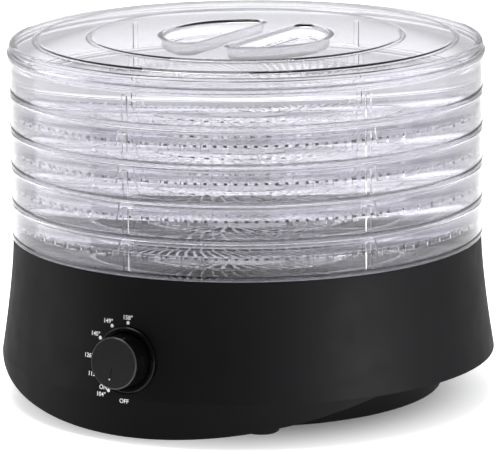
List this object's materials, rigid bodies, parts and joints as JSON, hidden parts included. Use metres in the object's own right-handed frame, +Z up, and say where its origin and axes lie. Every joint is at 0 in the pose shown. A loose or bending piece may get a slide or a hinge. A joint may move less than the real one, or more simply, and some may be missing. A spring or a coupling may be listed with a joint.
{
  "type": "food dehydrator",
  "caption": "Round countertop food dehydrator: flared black base with a thermostat dial and a fan heater, clear slatted trays that stack, and a clear lid with finger wells.",
  "frame": {"origin": "on the floor under the centre of the round body", "axes": "+Z up through the stack's centre line, -Y towards the front, +X to the viewer's right; the dial is left of the front"},
  "size_m": [0.321, 0.3209, 0.2348],
  "materials": {
    "housing_plastic": "fine moulded texture, charcoal black",
    "inner_plastic": "matte black",
    "knob_plastic": "satin black",
    "clear_plastic": "clear, polished",
    "foot_rubber": "matte black",
    "plain_steel": "zinc plated",
    "duct_sheet": "mill finish sheet",
    "mica_board": "matte, flaky",
    "resistance_wire": "dull oxidised",
    "laminations": "stacked laminations",
    "winding_copper": "enamelled wire under tape",
    "bearing_bronze": "sintered, oily",
    "rotor_metal": "turned",
    "phenolic": "moulded phenolic",
    "terminal_plastic": "off-white",
    "wire_insulation": "braided and plastic insulation",
    "fuse_ceramic": "glazed",
    "fan_plastic": "moulded"
  },
  "bodies": {
    "base": {"base_housing": "housing_plastic", "base_deck": "inner_plastic", "deck_screws": "plain_steel", "air_outlet_grille": "inner_plastic", "bottom_cover": "inner_plastic", "feet": "foot_rubber", "bottom_screws": "plain_steel", "cord_gland": "foot_rubber", "terminal_block": "terminal_plastic", "wiring": "wire_insulation", "dial_collar": "knob_plastic", "thermostat_body": "phenolic", "thermostat_nut": "plain_steel", "thermal_fuse": "fuse_ceramic", "fan_duct": "duct_sheet", "heater_frame": "mica_board", "heater_coil": "resistance_wire", "motor_core": "laminations", "motor_winding": "winding_copper", "motor_brackets": "plain_steel", "motor_bearings": "bearing_bronze", "motor_screws": "plain_steel"},
    "dial": {"knob": "knob_plastic", "thermostat_shaft": "plain_steel"},
    "fan": {"fan_impeller": "fan_plastic", "motor_shaft": "plain_steel", "motor_rotor": "rotor_metal"},
    "tray_1": {"tray_1_wall": "clear_plastic", "tray_1_floor": "clear_plastic"},
    "tray_2": {"tray_2_wall": "clear_plastic", "tray_2_floor": "clear_plastic"},
    "tray_3": {"tray_3_wall": "clear_plastic", "tray_3_floor": "clear_plastic"},
    "tray_4": {"tray_4_wall": "clear_plastic", "tray_4_floor": "clear_plastic"},
    "tray_5": {"tray_5_wall": "clear_plastic", "tray_5_floor": "clear_plastic"},
    "lid": {"lid": "clear_plastic", "lid_grip": "clear_plastic"}
  },
  "joints": [
    {"name": "dial_turn", "type": "hinge", "parent": "base", "child": "dial", "pos_m": [-0.07583, -0.13736, 0.0527], "axis": [0.4814, 0.8721, -0.0872], "range_deg": [-13, 167]},
    {"name": "fan_spin", "type": "hinge", "parent": "base", "child": "fan", "pos_m": [0, 0, 0.03], "axis": [0, 0, 1], "continuous": true},
    {"name": "tray_1_lift", "type": "slide", "parent": "base", "child": "tray_1", "axis": [0, 0, 1], "range_m": [0, 0.05]},
    {"name": "tray_2_lift", "type": "slide", "parent": "tray_1", "child": "tray_2", "axis": [0, 0, 1], "range_m": [0, 0.05]},
    {"name": "tray_3_lift", "type": "slide", "parent": "tray_2", "child": "tray_3", "axis": [0, 0, 1], "range_m": [0, 0.05]},
    {"name": "tray_4_lift", "type": "slide", "parent": "tray_3", "child": "tray_4", "axis": [0, 0, 1], "range_m": [0, 0.05]},
    {"name": "tray_5_lift", "type": "slide", "parent": "tray_4", "child": "tray_5", "axis": [0, 0, 1], "range_m": [0, 0.05]},
    {"name": "lid_lift", "type": "slide", "parent": "tray_5", "child": "lid", "axis": [0, 0, 1], "range_m": [0, 0.05]}
  ]
}
